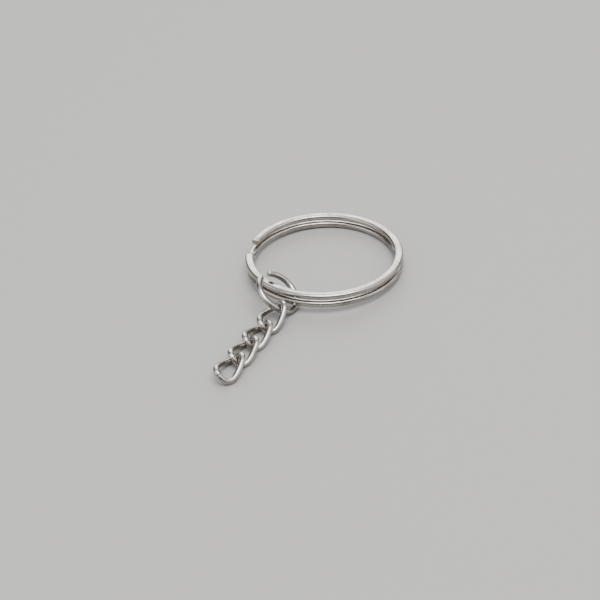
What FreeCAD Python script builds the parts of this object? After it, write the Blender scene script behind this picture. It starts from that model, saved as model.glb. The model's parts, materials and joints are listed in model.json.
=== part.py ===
import FreeCAD, Part
import math
import os

# Split key ring with a jump ring and a short curb chain, in millimetres.
# It lies on a flat surface at z = 0. The chain runs towards +X and +Z is up.
# The back of the split ring touches the surface, and its front is propped on the jump ring.
# Ring angles are measured about the split ring's centre, from +X towards +Y.

Vector = FreeCAD.Vector
UP = Vector(0, 0, 1)
ALONG = Vector(1, 0, 0)
SIDEWAYS = Vector(0, 1, 0)
SAME_POINT = 1e-3
LOWEST = 270

# Split ring: one flattened wire wound twice, with a jog between the lower and the upper turn.
ring_outer_diameter = 25.0
coil_width = 1.32
coil_height = 1.02
coil_gap = 0.31
coil_edge_radius = 0.32
coil_end_radius = 0.12
lower_end_angle = -50.0
jog_end_angle = -62.0
jog_span = 13.0
upper_end_angle = -84.0
jog_steps = 8

# Jump ring: an open ring of round wire, threaded round both turns, leaning on them.
jump_wire = 0.96
jump_clearance = 0.73
jump_ring_angle = -8.3
jump_outset = 0.39
jump_lean = 39.6
jump_heading = 103.2
jump_gap = 1.50
jump_gap_angle = 65.5
jump_end_offset = 0.16
jump_end_radius = 0.12
jump_steps = 24
prop_clearance = 0.22

# Curb chain: equal links of round wire, each twisted along its length.
link_count = 4
link_wire = 0.92
link_inner_length = 4.60
link_side_play = 1.24
link_twist = 46.0
link_fullness = 0.12
link_seam = 0.05
link_seam_angle = 345.0
link_end_radius = 0.03
link_steps = 48
link_yaw = 2.5
link_slack = 0.31
first_link_slack = 0.22
first_link_roll = -2.6
first_link_dip = 9.9
first_link_offset = 0.19
hook_angle = 202.0
hook_slack = 0.18
hook_offset = -0.33

# Places that follow from the sizes.
coil_radius = (ring_outer_diameter - coil_width) / 2
coil_pitch = coil_height + coil_gap
coil_stack_height = coil_pitch + coil_height
ring_tilt = math.degrees(math.asin((jump_wire + prop_clearance) / ring_outer_diameter))
ring_height = (
    (ring_outer_diameter / 2 - coil_edge_radius) * math.sin(math.radians(ring_tilt))
    + (coil_stack_height / 2 - coil_edge_radius) * math.cos(math.radians(ring_tilt))
    + coil_edge_radius
)
link_half_length = (link_inner_length + link_wire) / 2
link_half_width = link_wire + link_side_play / 2


def turned(vector, axis, degrees):
    """A vector turned about an axis through the origin."""
    return FreeCAD.Rotation(axis, degrees).multVec(vector)


def polar(radius, degrees, height):
    """The point at a ring angle, a radius and a height."""
    return turned(Vector(radius, 0, height), UP, degrees)


def ease_cut_ends(solid, cut_centres, radius):
    """Round the rims of the flat cut faces that are centred on the given points."""
    rims = []
    for face in solid.Faces:
        if min(face.CenterOfMass.distanceToPoint(centre) for centre in cut_centres) < SAME_POINT:
            rims.extend(face.Edges)
    return solid.makeFillet(radius, rims)


def round_wire(points, diameter, end_radius):
    """Sweep a round section along a smooth open line through the points."""
    line = Part.BSplineCurve()
    line.interpolate(points)
    start_direction = line.tangent(line.FirstParameter)[0]
    section = Part.Wire([Part.makeCircle(diameter / 2, points[0], start_direction)])
    solid = Part.Wire([line.toShape()]).makePipeShell([section], True, False)
    return ease_cut_ends(solid, [points[0], points[-1]], end_radius)


def coil_section(degrees, height):
    """The flattened wire's section: a rectangle with rounded corners, upright at a ring angle."""
    flat = coil_width / 2 - coil_edge_radius
    side = coil_height / 2 - coil_edge_radius
    corner_arcs = []
    for quarter, (across, along) in enumerate([(1, 1), (-1, 1), (-1, -1), (1, -1)]):
        centre = Vector(coil_radius + across * flat, 0, height + along * side)
        rim = [
            centre + turned(Vector(coil_edge_radius, 0, 0), SIDEWAYS, -90 * quarter - turn)
            for turn in (0, 45, 90)
        ]
        corner_arcs.append(Part.Arc(*rim).toShape())
    edges = []
    for arc, following in zip(corner_arcs, corner_arcs[1:] + corner_arcs[:1]):
        edges.append(arc)
        edges.append(Part.makeLine(arc.Vertexes[-1].Point, following.Vertexes[0].Point))
    section = Part.Wire(edges)
    section.rotate(Vector(), UP, degrees)
    return section


def jog_line(start_angle, end_angle, start_height, end_height):
    """The wire's climb from one level to the other, level at both ends."""
    points = []
    for step in range(jog_steps + 1):
        share = step / jog_steps
        eased = share ** 3 * (10 - 15 * share + 6 * share ** 2)
        angle = start_angle + (end_angle - start_angle) * share
        points.append(polar(coil_radius, angle, start_height + (end_height - start_height) * eased))
    line = Part.BSplineCurve()
    line.interpolate(
        Points=points,
        InitialTangent=polar(1, start_angle + 90, 0),
        FinalTangent=polar(1, end_angle + 90, 0),
    )
    return line.toShape()


def make_split_ring():
    """Both turns of the flattened wire in one piece, tilted and set down on the surface."""
    low = -coil_pitch / 2
    high = coil_pitch / 2
    jog_start_angle = jog_end_angle - jog_span
    lower_turn = Part.makeCircle(
        coil_radius, Vector(0, 0, low), UP, lower_end_angle, jog_start_angle + 360
    )
    upper_turn = Part.makeCircle(
        coil_radius, Vector(0, 0, high), UP, jog_end_angle, upper_end_angle + 360
    )
    jog = jog_line(jog_start_angle, jog_end_angle, low, high)
    sweep = Part.BRepOffsetAPI.MakePipeShell(Part.Wire([lower_turn, jog, upper_turn]))
    sweep.setBiNormalMode(UP)
    sweep.add(coil_section(lower_end_angle, low))
    sweep.build()
    sweep.makeSolid()
    cut_centres = [
        polar(coil_radius, lower_end_angle, low),
        polar(coil_radius, upper_end_angle, high),
    ]
    ring = ease_cut_ends(sweep.shape(), cut_centres, coil_end_radius)
    ring.rotate(Vector(), SIDEWAYS, -ring_tilt)
    ring.translate(Vector(0, 0, ring_height))
    return ring


def jump_ring_axes():
    """The jump ring's level and uphill directions, and its normal."""
    lean = math.radians(jump_lean)
    heading = polar(1, jump_heading, 0)
    normal = heading * math.sin(lean) + UP * math.cos(lean)
    level = UP.cross(heading)
    return level, normal.cross(level), normal


def jump_ring_radius():
    """The centreline's radius, which clears the corners of the two turns slanting through it."""
    normal = jump_ring_axes()[2]
    coil_direction = polar(1, jump_ring_angle + 90, 0)
    reach = 0
    for side in (-coil_width / 2, coil_width / 2):
        corner = polar(side, jump_ring_angle, coil_stack_height / 2)
        slide = corner.dot(normal) / coil_direction.dot(normal)
        reach = max(reach, (corner - coil_direction * slide).Length)
    return reach + jump_clearance + jump_wire / 2


def jump_ring_point(degrees):
    """A point on the jump ring's centreline. The wire is sprung a little sideways at its gap."""
    level, uphill, normal = jump_ring_axes()
    radius = jump_ring_radius()
    centre = polar(coil_radius + jump_outset, jump_ring_angle, 0)
    centre.z = jump_wire / 2 + radius * math.sin(math.radians(jump_lean))
    angle = math.radians(degrees)
    in_plane = level * math.cos(angle) + uphill * math.sin(angle)
    sideways = jump_end_offset * (degrees - LOWEST) / 360
    return centre + in_plane * radius + normal * sideways


def make_jump_ring():
    """The open ring of round wire."""
    half_gap = math.degrees((jump_gap / 2) / jump_ring_radius())
    start = jump_gap_angle + half_gap
    turn = 360 - 2 * half_gap
    points = [jump_ring_point(start + turn * step / jump_steps) for step in range(jump_steps + 1)]
    return round_wire(points, jump_wire, jump_end_radius)


def link_point(degrees, roll, dip):
    """A point on a link's centreline: an oval along X, twisted about X, rolled, dipped and turned."""
    angle = math.radians(degrees)
    length_share = math.cos(angle)
    breadth = (math.sin(angle) + link_fullness * math.sin(3 * angle)) / (1 - link_fullness)
    flat = Vector(link_half_length * length_share, link_half_width * breadth, 0)
    twisted = turned(flat, ALONG, roll - link_twist * length_share)
    return turned(turned(twisted, SIDEWAYS, dip), UP, link_yaw)


def link_pose(number):
    """A link's centre, roll and dip. The first climbs onto the jump ring, and the rest lie flat."""
    hook = jump_ring_point(hook_angle)
    reach = link_half_length - (jump_wire + link_wire) / 2 - hook_slack
    centre = Vector(hook.x + reach, hook.y + hook_offset, 0)
    roll = first_link_roll
    dip = first_link_dip
    if number > 1:
        first_step = link_inner_length - first_link_slack
        further_steps = (link_inner_length - link_slack) * (number - 2)
        centre += Vector(first_step + further_steps, -first_link_offset, 0)
        roll = 0
        dip = 0
    centre.z = link_wire / 2 - min(link_point(degrees, roll, dip).z for degrees in range(360))
    return centre, roll, dip


def make_link(number):
    """A closed link, with a fine butt seam near its far end."""
    centre, roll, dip = link_pose(number)
    half_seam = math.degrees((link_seam / 2) / link_half_width)
    start = link_seam_angle + half_seam
    turn = 360 - 2 * half_seam
    points = [
        centre + link_point(start + turn * step / link_steps, roll, dip)
        for step in range(link_steps + 1)
    ]
    return round_wire(points, link_wire, link_end_radius)


nodes = {
    "split_ring": make_split_ring(),
    "jump_ring": make_jump_ring(),
}
for number in range(1, link_count + 1):
    nodes[f"link_{number}"] = make_link(number)

# The origin is the middle of the whole object's underside.
bounds = Part.makeCompound(list(nodes.values())).optimalBoundingBox(False)
origin = Vector(bounds.Center.x, bounds.Center.y, bounds.ZMin)

os.makedirs("parts", exist_ok=True)
for name, shape in nodes.items():
    shape.translate(origin * -1)
    shape.exportStep(f"parts/{name}.step")
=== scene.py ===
import json
import math

import bpy
from bpy.props import FloatProperty, FloatVectorProperty, PointerProperty
from mathutils import Matrix, Quaternion, Vector


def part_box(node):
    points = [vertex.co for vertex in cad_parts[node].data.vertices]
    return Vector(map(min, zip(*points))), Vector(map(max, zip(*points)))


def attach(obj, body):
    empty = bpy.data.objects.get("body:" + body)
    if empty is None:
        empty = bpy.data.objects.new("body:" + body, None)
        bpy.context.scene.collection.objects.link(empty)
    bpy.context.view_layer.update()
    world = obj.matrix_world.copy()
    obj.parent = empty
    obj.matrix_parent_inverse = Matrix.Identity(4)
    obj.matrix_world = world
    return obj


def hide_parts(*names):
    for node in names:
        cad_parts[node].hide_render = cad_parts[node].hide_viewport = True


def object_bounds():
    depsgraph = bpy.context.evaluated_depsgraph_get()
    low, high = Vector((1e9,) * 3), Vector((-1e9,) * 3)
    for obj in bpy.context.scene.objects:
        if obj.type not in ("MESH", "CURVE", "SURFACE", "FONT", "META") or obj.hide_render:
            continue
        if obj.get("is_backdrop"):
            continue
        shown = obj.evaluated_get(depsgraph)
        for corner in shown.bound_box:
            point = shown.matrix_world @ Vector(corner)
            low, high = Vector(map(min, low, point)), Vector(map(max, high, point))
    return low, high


bl_info = {
    "name": "Split key ring",
    "version": (1, 0, 0),
    "blender": (4, 5, 0),
    "location": "View3D > Sidebar > Key ring",
    "description": "Builds a nickel-plated split ring, its jump ring and a short curb chain",
    "category": "Add Mesh",
}

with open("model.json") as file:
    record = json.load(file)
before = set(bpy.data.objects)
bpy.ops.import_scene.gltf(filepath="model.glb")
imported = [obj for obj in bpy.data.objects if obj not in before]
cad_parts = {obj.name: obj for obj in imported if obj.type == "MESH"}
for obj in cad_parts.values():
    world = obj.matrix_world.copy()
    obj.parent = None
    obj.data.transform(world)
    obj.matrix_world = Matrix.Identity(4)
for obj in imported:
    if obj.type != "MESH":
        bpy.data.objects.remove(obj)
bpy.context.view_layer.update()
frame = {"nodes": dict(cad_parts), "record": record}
KEY_LOOP = next(mount for mount in frame["record"]["mounts"] if mount["name"] == "key_loop")

MM = 0.001
UP = Vector((0, 0, 1))
FULL_TURN = 2 * math.pi
LOWEST = math.radians(270)
ROUND_SECTION = 2.0

# Points round a wire's section, and along each path.
SECTION_POINTS = 48
COIL_POINTS = 1100
JUMP_RING_POINTS = 280
LINK_POINTS = 240

# Where the surface pattern starts on each wire, in metres, so that no two wires match.
COIL_PATTERN_START = 0.0
JUMP_RING_PATTERN_START = 0.2
CHAIN_PATTERN_START = 0.3
LINK_PATTERN_STEP = 0.05

# The marks on a wire, in metres. A line is LINE_STRETCH times as long as it is wide. Bare steel is
# full up to the first distance of BARE_END from a cut end, and gone by the second.
LUMP_SIZE = 0.8 * MM
WAVE_SIZE = 0.9 * MM
PATCH_SIZE = 2.2 * MM
DING_SIZE = 0.28 * MM
SCRATCH_WIDTH = 0.09 * MM
SCRATCH_LENGTH = 1.6 * MM
SCRATCH_SLANT = math.radians(38)
LINE_STRETCH = 20
BARE_END = (0.02 * MM, 0.16 * MM)
NICK_DEPTH = 0.006 * MM
WAVE_DEPTH = 0.006 * MM
LINE_DEPTH = 0.002 * MM

# The noise values between which each mark fades in.
LUMPS_FADE = (0.42, 0.62)
LINES_FADE = (0.3, 0.7)
HAZE_FADE = (0.42, 0.66)
NICKS_FADE = (0.66, 0.74)
SCRATCHES_FADE = (0.64, 0.74)

# What each mark takes from or adds to the roughness.
LINE_SHINE = 0.05
LINE_DULLNESS = 0.09
HAZE_DULLNESS = 0.08
SCRATCH_DULLNESS = 0.14
BARE_DULLNESS = 0.28

# The stage, in metres where a name doesn't say millimetres. Directions are azimuths from +X towards
# +Y and elevations, in degrees.
FLOOR_REACH = 3.0
PAPER_ROUGHNESS = 0.75
PANEL_DIRECTION = (60.0, 76.0)
PANEL_DISTANCE = 0.6
PANEL_SIZE = (0.46, 0.34)
PANEL_POWER = 5.0
CAMERA_DIRECTION = (30.0, 36.0)
CAMERA_DISTANCE_MM = 258.56
CAMERA_AIM_MM = (-0.80, 0.41, 0)
CAMERA_ROLL = math.radians(-4.31)
CAMERA_LENS_MM = 100
CAMERA_SENSOR_MM = 36
CAMERA_CLIP = (0.01, 20)

MATH = "ShaderNodeMath"
VECTOR_MATH = "ShaderNodeVectorMath"
COMBINE = "ShaderNodeCombineXYZ"
ROTATE = "ShaderNodeVectorRotate"
RANGE = "ShaderNodeMapRange"
NOISE = "ShaderNodeTexNoise"


def linear(hex_colour):
    """An sRGB hex colour as the linear values that shaders use."""
    channels = [int(hex_colour[start:start + 2], 16) / 255 for start in (1, 3, 5)]
    return [c / 12.92 if c <= 0.04045 else ((c + 0.055) / 1.055) ** 2.4 for c in channels]


def length(name, millimetres, description):
    """A size that a user can set."""
    return FloatProperty(
        name=name, description=description, default=millimetres * MM,
        unit="LENGTH", subtype="DISTANCE", precision=5,
    )


def angle(name, degrees, description):
    """An angle that a user can set."""
    return FloatProperty(
        name=name, description=description, default=math.radians(degrees), subtype="ANGLE"
    )


def colour(name, hex_colour, description):
    """A colour that a user can set."""
    return FloatVectorProperty(
        name=name, description=description, default=linear(hex_colour),
        subtype="COLOR", min=0, max=1,
    )


class SplitRingSizes(bpy.types.PropertyGroup):
    outer_diameter: length("Outer diameter", 25.0, "Across the outside of the coiled wire")
    wire_width: length("Wire width", 1.32, "The flattened wire, measured towards the ring's centre")
    wire_height: length("Wire height", 1.02, "The flattened wire, measured along the ring's axis")
    squareness: FloatProperty(
        name="Squareness", description="Exponent of the wire's rounded section: 2 is an ellipse",
        default=2.8, min=2, max=12,
    )
    turn_gap: length("Turn gap", 0.31, "Open space between the two turns")
    lower_end: angle("Lower end", -50.0, "Where the lower turn starts")
    jog_end: angle("Jog end", -62.0, "Where the wire reaches the upper level")
    jog_span: angle("Jog span", 13.0, "How far the wire travels while it climbs")
    upper_end: angle("Upper end", -84.0, "Where the upper turn stops")
    end_rounding: length("End rounding", 0.16, "Radius round the rim of each cut end")
    end_dents: length("End dents", 0.09, "Depth of the cutter's dents beside each cut end")


class JumpRingSizes(bpy.types.PropertyGroup):
    wire: length("Wire", 0.96, "Diameter of the round wire")
    radius: length("Radius", 3.448, "From the ring's centre to the middle of the wire")
    place_angle: angle("Place angle", -8.3, "Where it hangs, about the split ring's centre")
    outset: length("Outset", 0.39, "How far its centre lies outside the coil's middle line")
    lean: angle("Lean", 39.6, "How far its axis leans from upright")
    heading: angle("Heading", 103.2, "Which way its axis leans")
    gap: length("Gap", 1.50, "Open space between its two ends")
    gap_angle: angle("Gap angle", 65.5, "Where the gap is, about its centre")
    end_offset: length("End offset", 0.16, "How far one end is sprung sideways from the other")
    end_rounding: length("End rounding", 0.34, "Radius round the rim of each cut end")
    end_dents: length("End dents", 0.025, "Depth of the cutter's dents beside each cut end")


class LinkSizes(bpy.types.PropertyGroup):
    wire: length("Wire", 0.92, "Diameter of the round wire")
    inner_length: length("Inner length", 4.60, "Inside a link, along the chain")
    inner_width: length("Inner width", 2.16, "Inside a link, across it, before it is twisted")
    twist: angle("Twist", 46.0, "Turn of each end of a link from its middle")
    fullness: FloatProperty(
        name="Fullness", description="How far the sides of a link bulge beyond an ellipse",
        default=0.12, min=0, max=0.3,
    )
    yaw: angle("Yaw", 2.5, "Turn of every link on the floor")
    first_roll: angle("First roll", -2.6, "Roll of the link that hangs on the jump ring")
    first_dip: angle("First dip", 9.9, "Fall of that link towards the chain's free end")
    seam: length("Seam", 0.05, "Open space between the butted wire ends")
    seam_angle: angle("Seam angle", 345.0, "Where the butted ends meet")
    end_rounding: length("End rounding", 0.03, "Radius round the rim of each butted end")
    end_dents: length("End dents", 0.008, "Depth of the cutter's dents beside each butted end")


class FinishColours(bpy.types.PropertyGroup):
    plating: colour("Plating", "#A8A39F", "Clean bright nickel")
    haze: colour("Haze", "#8F8980", "Nickel dulled by handling")
    steel: colour("Steel", "#96918B", "Bare steel in nicks and at cut ends")
    floor: colour("Floor", "#8A8987", "The plain floor")


class KeyRingSettings(bpy.types.PropertyGroup):
    split_ring: PointerProperty(type=SplitRingSizes)
    jump_ring: PointerProperty(type=JumpRingSizes)
    links: PointerProperty(type=LinkSizes)
    colours: PointerProperty(type=FinishColours)


def add_node(tree, kind, *values, feeds=None, **settings):
    """Add a node with its settings.

    Each value or feed is a constant or the socket that supplies it.
    """
    node = tree.nodes.new(kind)
    for name, setting in settings.items():
        setattr(node, name, setting)
    for key, value in [*enumerate(values), *(feeds or {}).items()]:
        if isinstance(value, bpy.types.NodeSocket):
            tree.links.new(value, node.inputs[key])
        else:
            node.inputs[key].default_value = value
    return node


def new_tree(name, inputs, output):
    """A Geometry Nodes tree with named inputs and one output, and the sockets of its inputs."""
    tree = bpy.data.node_groups.new(name, "GeometryNodeTree")
    for socket_name, kind in inputs.items():
        tree.interface.new_socket(socket_name, in_out="INPUT", socket_type="NodeSocket" + kind)
    for socket_name, kind in output.items():
        tree.interface.new_socket(socket_name, in_out="OUTPUT", socket_type="NodeSocket" + kind)
    return tree, add_node(tree, "NodeGroupInput").outputs


WIRE_INPUTS = {
    "Width": "Float",
    "Height": "Float",
    "Squareness": "Float",
    "End rounding": "Float",
    "End dents": "Float",
    "Pattern start": "Float",
    "Place": "Vector",
    "Turn": "Rotation",
    "Material": "Material",
}


def section_group():
    """The closed outline of a wire's section: a circle squared off by an exponent."""
    tree, given = new_tree(
        "Wire section", {"Width": "Float", "Height": "Float", "Squareness": "Float"},
        {"Outline": "Geometry"},
    )
    circle = add_node(
        tree, "GeometryNodeCurvePrimitiveCircle",
        feeds={"Resolution": SECTION_POINTS, "Radius": 1.0},
    )
    point = add_node(tree, "GeometryNodeInputPosition").outputs[0]
    exponent = add_node(
        tree, MATH, ROUND_SECTION, given["Squareness"], operation="DIVIDE"
    ).outputs[0]
    exponents = add_node(tree, COMBINE, exponent, exponent, 1.0).outputs[0]
    size = add_node(tree, VECTOR_MATH, point, operation="ABSOLUTE").outputs[0]
    sign = add_node(tree, VECTOR_MATH, point, operation="SIGN").outputs[0]
    squared = add_node(tree, VECTOR_MATH, size, exponents, operation="POWER").outputs[0]
    signed = add_node(tree, VECTOR_MATH, squared, sign, operation="MULTIPLY").outputs[0]
    sizes = add_node(tree, COMBINE, given["Width"], given["Height"], 0.0).outputs[0]
    half_sizes = add_node(
        tree, VECTOR_MATH, sizes, (0.5, 0.5, 0.5), operation="MULTIPLY"
    ).outputs[0]
    place = add_node(tree, VECTOR_MATH, signed, half_sizes, operation="MULTIPLY").outputs[0]
    outline = add_node(
        tree, "GeometryNodeSetPosition",
        feeds={"Geometry": circle.outputs["Curve"], "Position": place},
    )
    add_node(tree, "NodeGroupOutput", outline.outputs[0])
    return tree


def swept_wire_group(section_tree):
    """Sweep a wire's section along its path, dent and round its cut ends, and set it in its place.

    The attribute wire_place is each point's place in the wire pulled straight, in metres: two
    coordinates across the wire and the third along it. The attribute to_end is the distance to
    the nearer cut end.
    """
    tree, given = new_tree("Swept wire", {"Path": "Geometry", **WIRE_INPUTS}, {"Mesh": "Geometry"})
    outline = add_node(tree, "GeometryNodeGroup", node_tree=section_tree)
    for name in ("Width", "Height", "Squareness"):
        tree.links.new(given[name], outline.inputs[name])
    section = add_node(tree, "GeometryNodeCaptureAttribute", outline.outputs[0])
    section.capture_items.new("VECTOR", "Across")
    tree.links.new(add_node(tree, "GeometryNodeInputPosition").outputs[0], section.inputs["Across"])

    travelled = add_node(tree, "GeometryNodeSplineParameter").outputs["Length"]
    whole = add_node(tree, "GeometryNodeSplineLength").outputs["Length"]
    remaining = add_node(tree, MATH, whole, travelled, operation="SUBTRACT").outputs[0]
    to_end = add_node(tree, MATH, travelled, remaining, operation="MINIMUM").outputs[0]
    path = add_node(tree, "GeometryNodeCaptureAttribute", given["Path"])
    for name, value in (("Along", travelled), ("To end", to_end)):
        path.capture_items.new("FLOAT", name)
        tree.links.new(value, path.inputs[name])

    # Within the rounding, the section shrinks by r - sqrt(r * r - s * s), where s is what is
    # missing from r in the distance to the end.
    rounding = given["End rounding"]
    missing = add_node(
        tree, MATH, rounding, to_end, operation="SUBTRACT", use_clamp=True
    ).outputs[0]
    missing_squared = add_node(tree, MATH, missing, missing, operation="MULTIPLY").outputs[0]
    rounding_squared = add_node(tree, MATH, rounding, rounding, operation="MULTIPLY").outputs[0]
    kept_squared = add_node(
        tree, MATH, rounding_squared, missing_squared, operation="SUBTRACT"
    ).outputs[0]
    kept = add_node(tree, MATH, kept_squared, operation="SQRT").outputs[0]
    lost = add_node(tree, MATH, rounding, kept, operation="SUBTRACT").outputs[0]
    half_height = add_node(tree, MATH, given["Height"], 0.5, operation="MULTIPLY").outputs[0]
    share_lost = add_node(tree, MATH, lost, half_height, operation="DIVIDE").outputs[0]
    share_kept = add_node(tree, MATH, 1.0, share_lost, operation="SUBTRACT").outputs[0]
    swept = add_node(
        tree, "GeometryNodeCurveToMesh", path.outputs["Geometry"], section.outputs["Geometry"],
        share_kept, True,
    ).outputs[0]

    along = add_node(
        tree, MATH, path.outputs["Along"], given["Pattern start"], operation="ADD"
    ).outputs[0]
    across = add_node(tree, "ShaderNodeSeparateXYZ", section.outputs["Across"]).outputs
    place = add_node(tree, COMBINE, across[0], across[1], along).outputs[0]
    stored = add_node(
        tree, "GeometryNodeStoreNamedAttribute", swept,
        feeds={"Name": "wire_place", "Value": place}, data_type="FLOAT_VECTOR",
    ).outputs[0]
    stored = add_node(
        tree, "GeometryNodeStoreNamedAttribute", stored,
        feeds={"Name": "to_end", "Value": path.outputs["To end"]}, data_type="FLOAT",
    ).outputs[0]

    # The cutter's dents fade out within a wire's width of the end.
    fade = add_node(
        tree, RANGE, path.outputs["To end"], 0.0, given["Width"], 1.0, 0.0,
        interpolation_type="SMOOTHSTEP",
    ).outputs[0]
    lumps = add_node(
        tree, NOISE, feeds={"Vector": place, "Scale": 1 / LUMP_SIZE, "Detail": 1.0}
    ).outputs[0]
    lumps = add_node(tree, RANGE, lumps, *LUMPS_FADE, 0.0, given["End dents"]).outputs[0]
    depth = add_node(tree, MATH, lumps, fade, operation="MULTIPLY").outputs[0]
    inwards = add_node(tree, MATH, depth, -1.0, operation="MULTIPLY").outputs[0]
    normal = add_node(tree, "GeometryNodeInputNormal").outputs[0]
    offset = add_node(
        tree, VECTOR_MATH, normal, feeds={"Scale": inwards}, operation="SCALE"
    ).outputs[0]
    dented = add_node(tree, "GeometryNodeSetPosition", stored, feeds={"Offset": offset}).outputs[0]

    # The cut faces are the only ones with more than four corners, and they stay flat.
    corners = add_node(tree, "GeometryNodeInputMeshFaceNeighbors").outputs["Vertex Count"]
    cut_face = add_node(
        tree, "FunctionNodeCompare", feeds={2: corners, 3: 4},
        data_type="INT", operation="GREATER_THAN",
    ).outputs[0]
    smooth = add_node(
        tree, "GeometryNodeSetShadeSmooth", dented, feeds={"Shade Smooth": True}
    ).outputs[0]
    smooth = add_node(tree, "GeometryNodeSetShadeSmooth", smooth, cut_face, False).outputs[0]
    placed = add_node(
        tree, "GeometryNodeTransform", smooth, given["Place"], given["Turn"]
    ).outputs[0]
    real = add_node(tree, "GeometryNodeRealizeInstances", placed).outputs[0]
    finished = add_node(
        tree, "GeometryNodeSetMaterial", real, feeds={"Material": given["Material"]}
    ).outputs[0]
    add_node(tree, "NodeGroupOutput", finished)
    return tree


def travel_group():
    """The angle at each point of a path. The points crowd together at both ends."""
    tree, given = new_tree("Travel", {"Start": "Float", "End": "Float"}, {"Angle": "Float"})
    factor = add_node(tree, "GeometryNodeSplineParameter").outputs["Factor"]
    half_turn = add_node(tree, MATH, factor, math.pi, operation="MULTIPLY").outputs[0]
    cosine = add_node(tree, MATH, half_turn, operation="COSINE").outputs[0]
    travelled = add_node(tree, RANGE, cosine, 1.0, -1.0, given["Start"], given["End"]).outputs[0]
    add_node(tree, "NodeGroupOutput", travelled)
    return tree


def wire_tree(name, inputs, point_count, path_rule, groups):
    """A tree that places a path's points by a rule and sweeps a wire along them."""
    path_inputs = {"Start": "Float", "End": "Float", **inputs}
    tree, given = new_tree(name, {**path_inputs, **WIRE_INPUTS}, {"Mesh": "Geometry"})
    line = add_node(tree, "GeometryNodeCurvePrimitiveLine").outputs[0]
    points = add_node(
        tree, "GeometryNodeResampleCurve", line, feeds={"Count": point_count}
    ).outputs[0]
    travel = add_node(tree, "GeometryNodeGroup", node_tree=groups["travel"])
    for socket_name in ("Start", "End"):
        tree.links.new(given[socket_name], travel.inputs[socket_name])
    place = path_rule(tree, given, travel.outputs[0])
    path = add_node(tree, "GeometryNodeSetPosition", points, feeds={"Position": place}).outputs[0]
    path = add_node(tree, "GeometryNodeSetCurveNormal", path, mode="Z_UP").outputs[0]
    wire = add_node(tree, "GeometryNodeGroup", path, node_tree=groups["wire"])
    for socket_name in WIRE_INPUTS:
        tree.links.new(given[socket_name], wire.inputs[socket_name])
    add_node(tree, "NodeGroupOutput", wire.outputs[0])
    return tree


def coil_rule(tree, given, turned):
    """Two level turns, with a climb from the lower to the upper one."""
    height = add_node(
        tree, RANGE, turned, given["Climb start"], given["Climb end"], given["Low"], given["High"],
        interpolation_type="SMOOTHERSTEP",
    ).outputs[0]
    spoke = add_node(tree, COMBINE, given["Radius"], 0.0, height).outputs[0]
    return add_node(
        tree, ROTATE, spoke, feeds={"Angle": turned}, rotation_type="Z_AXIS"
    ).outputs[0]


def jump_ring_rule(tree, given, turned):
    """One open turn, sprung sideways in step with the angle."""
    from_lowest = add_node(tree, MATH, turned, LOWEST, operation="SUBTRACT").outputs[0]
    offset_per_angle = add_node(
        tree, MATH, given["End offset"], FULL_TURN, operation="DIVIDE"
    ).outputs[0]
    sideways = add_node(tree, MATH, from_lowest, offset_per_angle, operation="MULTIPLY").outputs[0]
    spoke = add_node(tree, COMBINE, given["Radius"], 0.0, sideways).outputs[0]
    return add_node(
        tree, ROTATE, spoke, feeds={"Angle": turned}, rotation_type="Z_AXIS"
    ).outputs[0]


def link_rule(tree, given, turned):
    """A full-sided oval along X, whose ends are twisted opposite ways about X."""
    cosine = add_node(tree, MATH, turned, operation="COSINE").outputs[0]
    sine = add_node(tree, MATH, turned, operation="SINE").outputs[0]
    tripled = add_node(tree, MATH, turned, 3.0, operation="MULTIPLY").outputs[0]
    third = add_node(tree, MATH, tripled, operation="SINE").outputs[0]
    full = add_node(tree, MATH, third, given["Fullness"], sine, operation="MULTIPLY_ADD").outputs[0]
    widest = add_node(tree, MATH, 1.0, given["Fullness"], operation="SUBTRACT").outputs[0]
    breadth = add_node(tree, MATH, full, widest, operation="DIVIDE").outputs[0]
    along = add_node(tree, MATH, cosine, given["Half length"], operation="MULTIPLY").outputs[0]
    across = add_node(tree, MATH, breadth, given["Half width"], operation="MULTIPLY").outputs[0]
    flat = add_node(tree, COMBINE, along, across, 0.0).outputs[0]
    back_twist = add_node(tree, MATH, given["Twist"], -1.0, operation="MULTIPLY").outputs[0]
    twist = add_node(tree, MATH, cosine, back_twist, operation="MULTIPLY").outputs[0]
    return add_node(tree, ROTATE, flat, feeds={"Angle": twist}, rotation_type="X_AXIS").outputs[0]


def wire_groups():
    """The node groups that all the wires share, made once."""
    if "Swept wire" not in bpy.data.node_groups:
        swept_wire_group(section_group())
        travel_group()
    return {"wire": bpy.data.node_groups["Swept wire"], "travel": bpy.data.node_groups["Travel"]}


def grow_piece(name, tree, sizes):
    """Evaluate a tree with its inputs set, and keep what it makes as a plain mesh."""
    piece = bpy.data.objects.new(name, bpy.data.meshes.new(name))
    bpy.context.scene.collection.objects.link(piece)
    modifier = piece.modifiers.new(name, "NODES")
    modifier.node_group = tree
    for socket in tree.interface.items_tree:
        if socket.in_out == "INPUT":
            modifier[socket.identifier] = sizes[socket.name]
    depsgraph = bpy.context.evaluated_depsgraph_get()
    grown = bpy.data.meshes.new_from_object(
        piece.evaluated_get(depsgraph), preserve_all_data_layers=True, depsgraph=depsgraph
    )
    piece.modifiers.remove(modifier)
    piece.data = grown
    grown.name = name
    if not grown.polygons:
        raise RuntimeError(f"{name} came out empty")
    return piece


def centre_on_box(piece, low, high):
    """Shift a piece's mesh so that the middle of its box is the middle of the given one."""
    corners = [
        Vector(pick(vertex.co[axis] for vertex in piece.data.vertices) for axis in range(3))
        for pick in (min, max)
    ]
    piece.data.transform(Matrix.Translation((low + high - corners[0] - corners[1]) / 2))


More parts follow.
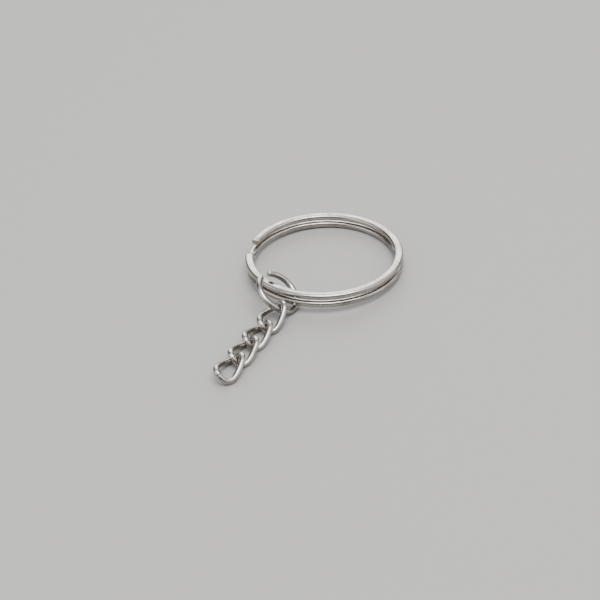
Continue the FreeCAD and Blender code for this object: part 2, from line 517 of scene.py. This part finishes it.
def nickel_plated_wire(name, colours, line_spacing, dullness, bared):
    """Bright nickel on drawn steel wire.

    The nickel gives a slightly warm white metal with soft-edged highlights. Drawing leaves faint
    lines along the wire, tumbling leaves a fine waviness and small dings, and handling leaves
    slanting scratches and dull, warmer patches. Bare steel shows grey in the deepest nicks and, by
    the given share, on cut ends. The real lines are typically about 0.02 mm apart. They and the
    real scratches are too fine to show, so both are drawn coarser.
    """
    material = bpy.data.materials.new(name)
    material.use_nodes = True
    tree = material.node_tree
    tree.nodes.clear()
    place = add_node(tree, "ShaderNodeAttribute", attribute_name="wire_place").outputs["Vector"]
    to_end = add_node(tree, "ShaderNodeAttribute", attribute_name="to_end").outputs["Fac"]

    line_scale = (1 / line_spacing, 1 / line_spacing, 1 / (LINE_STRETCH * line_spacing))
    stretched = add_node(tree, VECTOR_MATH, place, line_scale, operation="MULTIPLY").outputs[0]
    lines = add_node(
        tree, NOISE, feeds={"Vector": stretched, "Scale": 1.0, "Detail": 2.0}
    ).outputs[0]
    waves = add_node(
        tree, NOISE, feeds={"Vector": place, "Scale": 1 / WAVE_SIZE, "Detail": 1.0}
    ).outputs[0]
    patches = add_node(
        tree, NOISE,
        feeds={"Vector": place, "Scale": 1 / PATCH_SIZE, "Detail": 3.0, "Roughness": 0.6},
    ).outputs[0]
    dings = add_node(
        tree, NOISE, feeds={"Vector": place, "Scale": 1 / DING_SIZE, "Detail": 2.0}
    ).outputs[0]
    nicks = add_node(
        tree, RANGE, dings, *NICKS_FADE, 0.0, 1.0, interpolation_type="SMOOTHSTEP"
    ).outputs[0]
    slanted = add_node(
        tree, ROTATE, place, feeds={"Axis": (1, 1, 0), "Angle": SCRATCH_SLANT},
        rotation_type="AXIS_ANGLE",
    ).outputs[0]
    scratch_scale = (1 / SCRATCH_WIDTH, 1 / SCRATCH_WIDTH, 1 / SCRATCH_LENGTH)
    drawn_out = add_node(tree, VECTOR_MATH, slanted, scratch_scale, operation="MULTIPLY").outputs[0]
    scratches = add_node(
        tree, NOISE, feeds={"Vector": drawn_out, "Scale": 1.0, "Detail": 1.0}
    ).outputs[0]
    scratches = add_node(
        tree, RANGE, scratches, *SCRATCHES_FADE, 0.0, 1.0, interpolation_type="SMOOTHSTEP"
    ).outputs[0]

    haze = add_node(tree, RANGE, patches, *HAZE_FADE, 0.0, 1.0).outputs[0]
    clean = add_node(
        tree, "ShaderNodeMix", haze, data_type="RGBA",
        feeds={6: (*colours.plating, 1), 7: (*colours.haze, 1)},
    ).outputs[2]
    cut = add_node(
        tree, RANGE, to_end, *BARE_END, bared, 0.0, interpolation_type="SMOOTHSTEP"
    ).outputs[0]
    bare = add_node(tree, MATH, nicks, cut, operation="MAXIMUM").outputs[0]
    base = add_node(
        tree, "ShaderNodeMix", bare, data_type="RGBA", feeds={6: clean, 7: (*colours.steel, 1)}
    ).outputs[2]

    roughness = add_node(
        tree, RANGE, lines, *LINES_FADE, dullness - LINE_SHINE, dullness + LINE_DULLNESS
    ).outputs[0]
    for mark, added in (
        (haze, HAZE_DULLNESS), (scratches, SCRATCH_DULLNESS), (bare, BARE_DULLNESS)
    ):
        roughness = add_node(
            tree, MATH, mark, added, roughness, operation="MULTIPLY_ADD"
        ).outputs[0]

    pitted = add_node(
        tree, "ShaderNodeBump",
        feeds={"Strength": 1.0, "Distance": NICK_DEPTH, "Height": nicks}, invert=True,
    ).outputs[0]
    wavy = add_node(
        tree, "ShaderNodeBump",
        feeds={"Strength": 1.0, "Distance": WAVE_DEPTH, "Height": waves, "Normal": pitted},
    ).outputs[0]
    lined = add_node(
        tree, "ShaderNodeBump",
        feeds={"Strength": 1.0, "Distance": LINE_DEPTH, "Height": lines, "Normal": wavy},
    ).outputs[0]
    surface = add_node(
        tree, "ShaderNodeBsdfPrincipled",
        feeds={"Base Color": base, "Metallic": 1.0, "Roughness": roughness, "Normal": lined},
    ).outputs[0]
    add_node(tree, "ShaderNodeOutputMaterial", surface)
    return material


def towards(azimuth, elevation):
    """The direction at an azimuth from +X towards +Y and an elevation, both in degrees."""
    level = math.cos(math.radians(elevation))
    return Vector((
        level * math.cos(math.radians(azimuth)),
        level * math.sin(math.radians(azimuth)),
        math.sin(math.radians(elevation)),
    ))


def loop_centre():
    """The split ring's centre."""
    return Vector(KEY_LOOP["pos_m"])


def coil_radius(ring):
    """From the split ring's centre to the middle of its wire."""
    return (ring.outer_diameter - ring.wire_width) / 2


class KEYRING_OT_split_ring(bpy.types.Operator):
    """Build the split ring: one flattened wire wound twice, with a climb between the turns"""

    bl_idname = "key_ring.split_ring"
    bl_label = "Split ring"

    def execute(self, context):
        settings = context.scene.key_ring
        ring = settings.split_ring
        tree = wire_tree(
            "Coiled wire",
            {"Radius": "Float", "Low": "Float", "High": "Float",
             "Climb start": "Float", "Climb end": "Float"},
            COIL_POINTS, coil_rule, wire_groups(),
        )
        half_pitch = (ring.wire_height + ring.turn_gap) / 2
        climb_end = ring.jog_end + FULL_TURN
        tilt = UP.rotation_difference(Vector(KEY_LOOP["axis"]))
        piece = grow_piece("split_ring_wire", tree, {
            "Start": ring.lower_end,
            "End": ring.upper_end + 2 * FULL_TURN,
            "Radius": coil_radius(ring),
            "Low": -half_pitch,
            "High": half_pitch,
            "Climb start": climb_end - ring.jog_span,
            "Climb end": climb_end,
            "Width": ring.wire_width,
            "Height": ring.wire_height,
            "Squareness": ring.squareness,
            "End rounding": ring.end_rounding,
            "End dents": ring.end_dents,
            "Pattern start": COIL_PATTERN_START,
            "Place": loop_centre(),
            "Turn": tilt.to_euler(),
            "Material": nickel_plated_wire(
                "Nickel-plated flat spring steel wire", settings.colours,
                line_spacing=0.13 * MM, dullness=0.18, bared=0.7,
            ),
        })
        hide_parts("split_ring")
        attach(piece, "split_ring")
        return {"FINISHED"}


class KEYRING_OT_jump_ring(bpy.types.Operator):
    """Build the jump ring: one open turn of round wire that leans on the split ring"""

    bl_idname = "key_ring.jump_ring"
    bl_label = "Jump ring"

    def execute(self, context):
        settings = context.scene.key_ring
        ring = settings.jump_ring
        tree = wire_tree(
            "Open ring of wire", {"Radius": "Float", "End offset": "Float"},
            JUMP_RING_POINTS, jump_ring_rule, wire_groups(),
        )
        heading = Vector((math.cos(ring.heading), math.sin(ring.heading), 0))
        normal = heading * math.sin(ring.lean) + UP * math.cos(ring.lean)
        level = UP.cross(heading)
        uphill = normal.cross(level)
        turn = Matrix((level, uphill, normal)).transposed()
        reach = coil_radius(settings.split_ring) + ring.outset
        centre = Vector((
            loop_centre().x + reach * math.cos(ring.place_angle),
            loop_centre().y + reach * math.sin(ring.place_angle),
            ring.wire / 2 + ring.radius * math.sin(ring.lean),
        ))
        half_gap = (ring.gap / 2) / ring.radius
        start = ring.gap_angle + half_gap
        piece = grow_piece("jump_ring_wire", tree, {
            "Start": start,
            "End": start + FULL_TURN - 2 * half_gap,
            "Radius": ring.radius,
            "End offset": ring.end_offset,
            "Width": ring.wire,
            "Height": ring.wire,
            "Squareness": ROUND_SECTION,
            "End rounding": ring.end_rounding,
            "End dents": ring.end_dents,
            "Pattern start": JUMP_RING_PATTERN_START,
            "Place": centre,
            "Turn": turn.to_euler(),
            "Material": nickel_plated_wire(
                "Nickel-plated round steel wire", settings.colours,
                line_spacing=0.12 * MM, dullness=0.16, bared=0.1,
            ),
        })
        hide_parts("jump_ring")
        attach(piece, "jump_ring")
        return {"FINISHED"}


class KEYRING_OT_chain(bpy.types.Operator):
    """Build the four twisted links of the curb chain"""

    bl_idname = "key_ring.chain"
    bl_label = "Curb chain"

    def execute(self, context):
        settings = context.scene.key_ring
        link = settings.links
        tree = wire_tree(
            "Curb link",
            {"Half length": "Float", "Half width": "Float", "Fullness": "Float", "Twist": "Float"},
            LINK_POINTS, link_rule, wire_groups(),
        )
        material = nickel_plated_wire(
            "Nickel-plated chain wire", settings.colours,
            line_spacing=0.12 * MM, dullness=0.19, bared=0.5,
        )
        half_seam = (link.seam / 2) / ((link.inner_width + link.wire) / 2)
        start = link.seam_angle + half_seam
        names = sorted(name for name in frame["nodes"] if name.startswith("link_"))
        for number, name in enumerate(names, start=1):
            low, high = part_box(name)
            first = number == 1
            piece = grow_piece(f"{name}_wire", tree, {
                "Start": start,
                "End": start + FULL_TURN - 2 * half_seam,
                "Half length": (link.inner_length + link.wire) / 2,
                "Half width": (link.inner_width + link.wire) / 2,
                "Fullness": link.fullness,
                "Twist": link.twist,
                "Width": link.wire,
                "Height": link.wire,
                "Squareness": ROUND_SECTION,
                "End rounding": link.end_rounding,
                "End dents": link.end_dents,
                "Pattern start": CHAIN_PATTERN_START + LINK_PATTERN_STEP * number,
                "Place": (0, 0, 0),
                "Turn": (
                    link.first_roll if first else 0.0, link.first_dip if first else 0.0, link.yaw
                ),
                "Material": material,
            })
            # A link's place comes from its CAD node's box.
            centre_on_box(piece, low, high)
            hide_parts(name)
            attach(piece, name)
        return {"FINISHED"}


# The tent's lights: direction, the angle from it at which the light is gone, the angle within which
# it is full, both in degrees, and its strength. The tent is brighter overhead, behind the ring and
# at its two sides.
TENT_LIGHTS = (
    (UP, 80.0, 60.0, 0.30),
    (towards(40.0, 72.0), 42.0, 18.0, 2.2),
    (towards(207.0, 30.0), 40.0, 4.0, 5.2),
    (towards(115.0, 20.0), 46.0, 14.0, 1.9),
    (towards(320.0, 18.0), 42.0, 12.0, 2.2),
)


def lay_floor(scene):
    """Lay a sheet of matt paper, which shows no clear reflection and so stays plain."""
    paper = bpy.data.materials.new("Matt paper")
    paper.use_nodes = True
    shader = paper.node_tree.nodes["Principled BSDF"]
    shader.inputs["Base Color"].default_value = (*scene.key_ring.colours.floor, 1)
    shader.inputs["Roughness"].default_value = PAPER_ROUGHNESS
    sheet = bpy.data.meshes.new("floor")
    sheet.from_pydata(
        [
            (-FLOOR_REACH, -FLOOR_REACH, 0), (FLOOR_REACH, -FLOOR_REACH, 0),
            (FLOOR_REACH, FLOOR_REACH, 0), (-FLOOR_REACH, FLOOR_REACH, 0),
        ],
        [], [(0, 1, 2, 3)],
    )
    sheet.materials.append(paper)
    floor = bpy.data.objects.new("floor", sheet)
    scene.collection.objects.link(floor)
    floor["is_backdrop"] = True


def pitch_tent(scene):
    """Surround the stage with a white tent, lit softly from outside."""
    world = bpy.data.worlds.new("Light tent")
    scene.world = world
    world.use_nodes = True
    tree = world.node_tree
    tree.nodes.clear()
    direction = add_node(tree, "ShaderNodeTexCoord").outputs["Generated"]
    strength = 0.0
    for axis, widest, narrowest, glow in TENT_LIGHTS:
        facing = add_node(
            tree, VECTOR_MATH, direction, axis, operation="DOT_PRODUCT"
        ).outputs["Value"]
        lit = add_node(
            tree, RANGE, facing,
            math.cos(math.radians(widest)), math.cos(math.radians(narrowest)), 0.0, glow,
            interpolation_type="SMOOTHSTEP",
        ).outputs[0]
        strength = add_node(tree, MATH, lit, strength, operation="ADD").outputs[0]
    room = add_node(
        tree, "ShaderNodeBackground", feeds={"Color": (1, 1, 1, 1), "Strength": strength}
    ).outputs[0]
    add_node(tree, "ShaderNodeOutputWorld", room)


def hang_panel(scene, middle):
    """Hang a soft panel light over the middle of the object."""
    panel = bpy.data.lights.new("Soft panel", "AREA")
    panel.shape = "RECTANGLE"
    panel.size, panel.size_y = PANEL_SIZE
    panel.energy = PANEL_POWER
    panel_object = bpy.data.objects.new("Soft panel", panel)
    scene.collection.objects.link(panel_object)
    upwards = towards(*PANEL_DIRECTION)
    panel_object.location = middle + upwards * PANEL_DISTANCE
    panel_object.rotation_mode = "QUATERNION"
    panel_object.rotation_quaternion = upwards.to_track_quat("Z", "Y")


def set_camera(scene, middle):
    """Aim the camera near the middle of the object, turned a little about its own view."""
    camera = bpy.data.cameras.new("Camera")
    camera.lens = CAMERA_LENS_MM
    camera.sensor_width = CAMERA_SENSOR_MM
    camera.clip_start, camera.clip_end = CAMERA_CLIP
    camera_object = bpy.data.objects.new("Camera", camera)
    scene.collection.objects.link(camera_object)
    outwards = towards(*CAMERA_DIRECTION)
    aim = middle + Vector(CAMERA_AIM_MM) * MM
    camera_object.location = aim + outwards * CAMERA_DISTANCE_MM * MM
    camera_object.rotation_mode = "QUATERNION"
    roll = Quaternion(UP, CAMERA_ROLL)
    camera_object.rotation_quaternion = (-outwards).to_track_quat("-Z", "Y") @ roll
    scene.camera = camera_object


class KEYRING_OT_stage(bpy.types.Operator):
    """Set the plain floor, the soft studio light and the camera"""

    bl_idname = "key_ring.stage"
    bl_label = "Stage"

    def execute(self, context):
        scene = context.scene
        low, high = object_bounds()
        middle = Vector(((low.x + high.x) / 2, (low.y + high.y) / 2, 0))
        lay_floor(scene)
        pitch_tent(scene)
        hang_panel(scene, middle)
        set_camera(scene, middle)
        return {"FINISHED"}


class KEYRING_PT_panel(bpy.types.Panel):
    """The key ring's sizes, colours and steps"""

    bl_idname = "KEYRING_PT_panel"
    bl_label = "Key ring"
    bl_space_type = "VIEW_3D"
    bl_region_type = "UI"
    bl_category = "Key ring"

    def draw(self, context):
        settings = context.scene.key_ring
        for group_name in ("split_ring", "jump_ring", "links", "colours"):
            box = self.layout.box()
            box.label(text=group_name.replace("_", " ").capitalize())
            group = getattr(settings, group_name)
            for name in group.__annotations__:
                box.prop(group, name)
        for operator in OPERATORS:
            self.layout.operator(operator.bl_idname)


PROPERTY_GROUPS = (SplitRingSizes, JumpRingSizes, LinkSizes, FinishColours, KeyRingSettings)
OPERATORS = (KEYRING_OT_split_ring, KEYRING_OT_jump_ring, KEYRING_OT_chain, KEYRING_OT_stage)


def register():
    for cls in (*PROPERTY_GROUPS, *OPERATORS, KEYRING_PT_panel):
        bpy.utils.register_class(cls)
    bpy.types.Scene.key_ring = PointerProperty(type=KeyRingSettings)


def unregister():
    del bpy.types.Scene.key_ring
    for cls in reversed((*PROPERTY_GROUPS, *OPERATORS, KEYRING_PT_panel)):
        bpy.utils.unregister_class(cls)


def main():
    """Build every piece and the stage."""
    register()
    bpy.ops.key_ring.split_ring()
    bpy.ops.key_ring.jump_ring()
    bpy.ops.key_ring.chain()
    bpy.ops.key_ring.stage()


if __name__ == "__main__":
    main()
